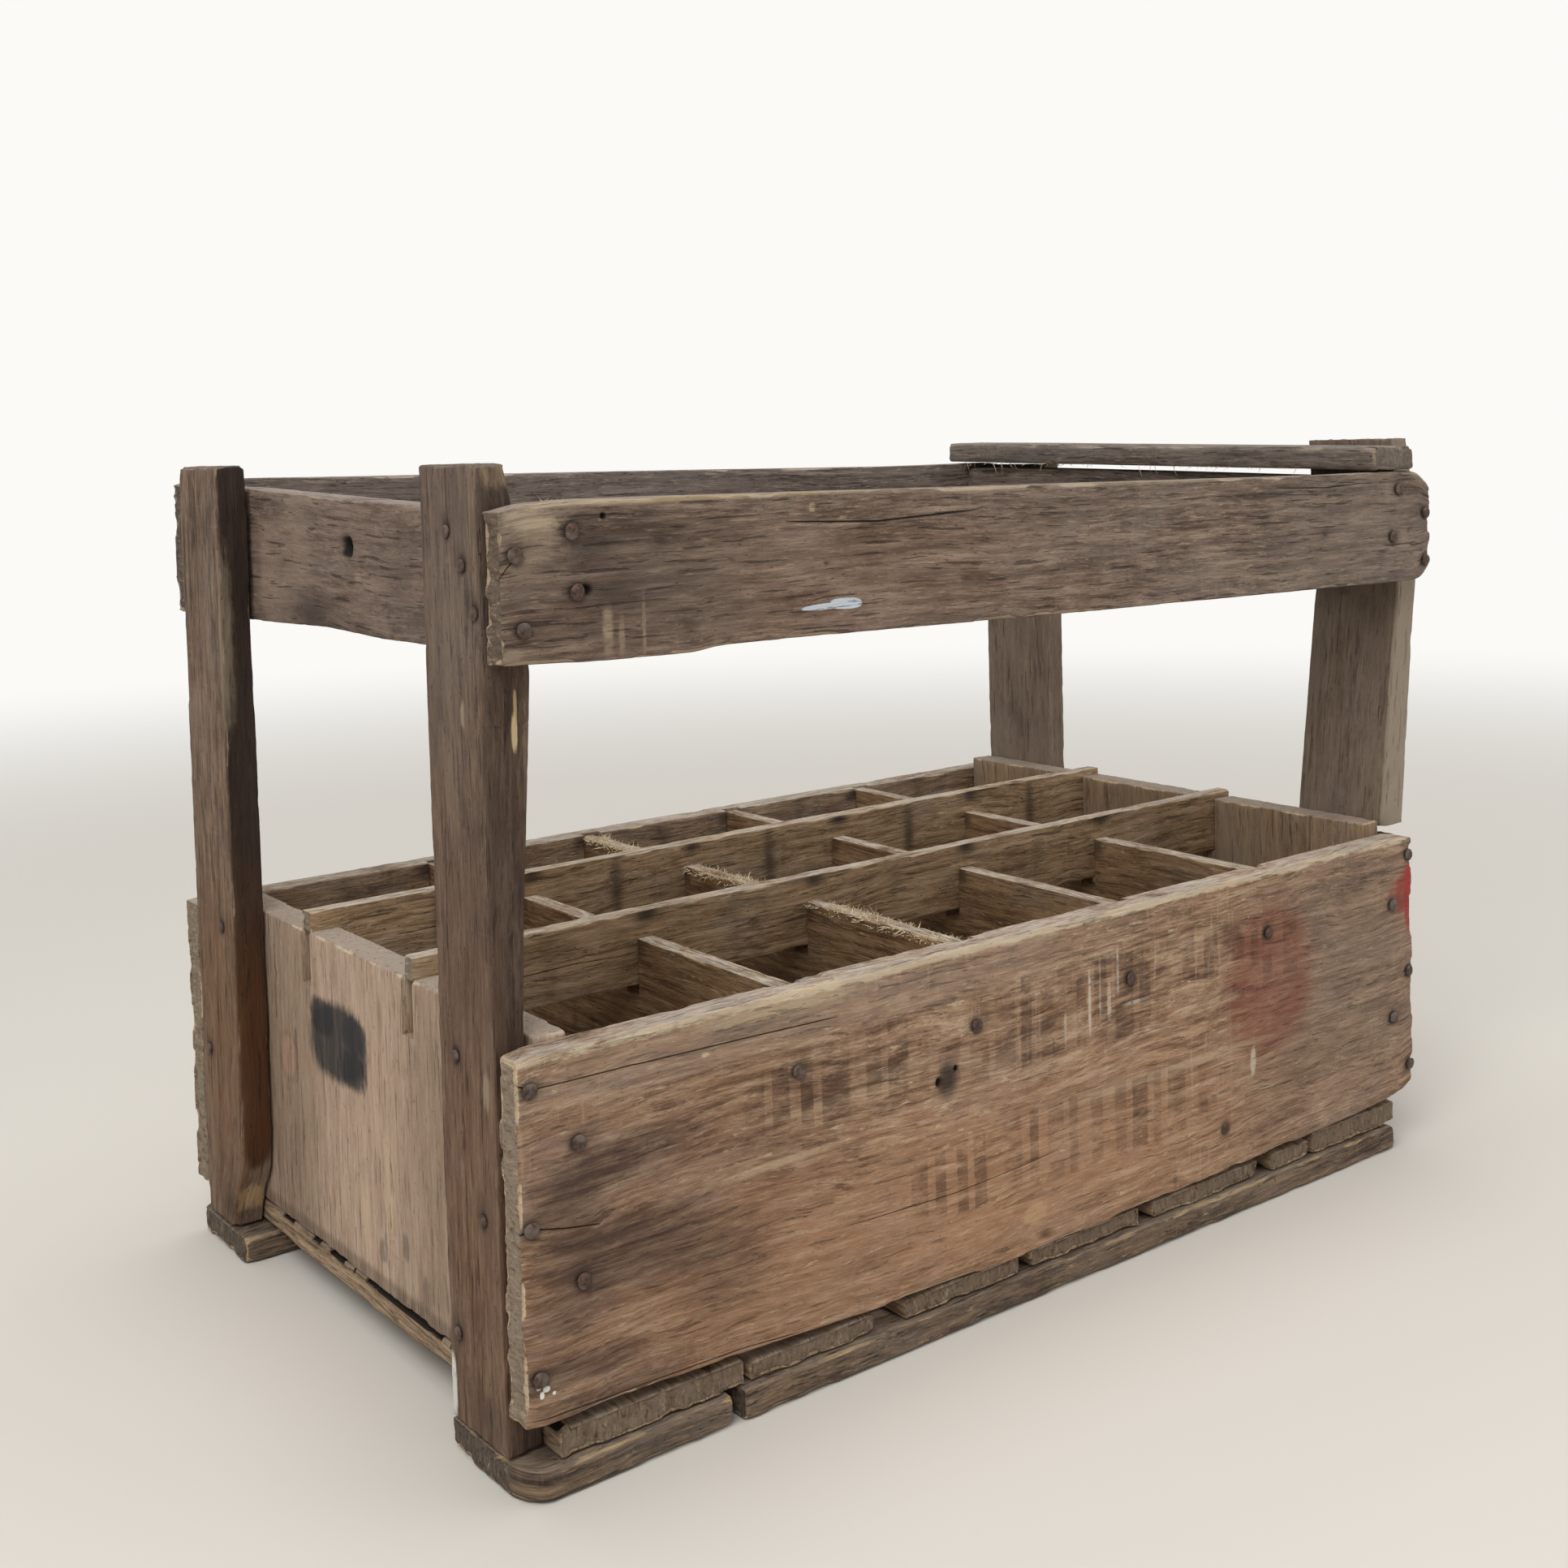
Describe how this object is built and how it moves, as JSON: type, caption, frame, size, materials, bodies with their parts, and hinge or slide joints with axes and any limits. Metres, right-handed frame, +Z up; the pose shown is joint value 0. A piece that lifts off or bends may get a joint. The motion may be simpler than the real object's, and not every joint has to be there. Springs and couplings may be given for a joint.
{
  "type": "wooden bottle crate",
  "caption": "Nailed wooden bottle crate: divided open box on runners, corner posts that carry a raised rail frame, and one plank across the right end.",
  "frame": {"origin": "on the ground, under the middle of the crate's bounding box", "axes": "+X along the crate towards the end with the top plank, +Y from the front board to the back board, +Z up"},
  "size_m": [0.58, 0.3312, 0.3837],
  "materials": {
    "board": "weathered brown board, bare and worn",
    "panel": "tan bare board with upright grain",
    "post": "weathered grey brown post",
    "rail": "weathered dark grey brown rail",
    "divider": "bare brown divider with dark stains",
    "slat": "rough sawn slat",
    "runner": "rough dark runner",
    "nail": "dull rusty round nail"
  },
  "bodies": {
    "root": {"back_long_divider": "divider", "back_runner": "runner", "back_side_board": "board", "back_top_rail": "rail", "bottom_slat_1": "slat", "bottom_slat_2": "slat", "bottom_slat_3": "slat", "bottom_slat_4": "slat", "bottom_slat_5": "slat", "bottom_slat_6": "slat", "bottom_slat_7": "slat", "cross_divider_1": "divider", "cross_divider_2": "divider", "cross_divider_3": "divider", "cross_divider_4": "divider", "far_left_post": "post", "far_right_post": "post", "front_board_nail_1": "nail", "front_board_nail_10": "nail", "front_board_nail_11": "nail", "front_board_nail_12": "nail", "front_board_nail_13": "nail", "front_board_nail_14": "nail", "front_board_nail_2": "nail", "front_board_nail_3": "nail", "front_board_nail_4": "nail", "front_board_nail_5": "nail", "front_board_nail_6": "nail", "front_board_nail_7": "nail", "front_board_nail_8": "nail", "front_board_nail_9": "nail", "front_long_divider": "divider", "front_rail_nail_1": "nail", "front_rail_nail_2": "nail", "front_rail_nail_3": "nail", "front_rail_nail_4": "nail", "front_rail_nail_5": "nail", "front_rail_nail_6": "nail", "front_rail_nail_7": "nail", "front_rail_nail_8": "nail", "front_runner_left": "runner", "front_runner_right": "runner", "front_side_board": "board", "front_top_rail": "rail", "left_cross_rail": "rail", "left_end_panel": "panel", "left_post_nail_1": "nail", "left_post_nail_2": "nail", "left_post_nail_3": "nail", "left_post_nail_4": "nail", "left_post_nail_5": "nail", "left_post_nail_6": "nail", "left_post_nail_7": "nail", "left_post_nail_8": "nail", "near_left_post": "post", "near_right_post_stump": "post", "near_right_post_upper": "post", "right_cross_rail": "rail", "right_end_panel": "panel", "right_top_plank": "rail"}
  },
  "joints": []
}
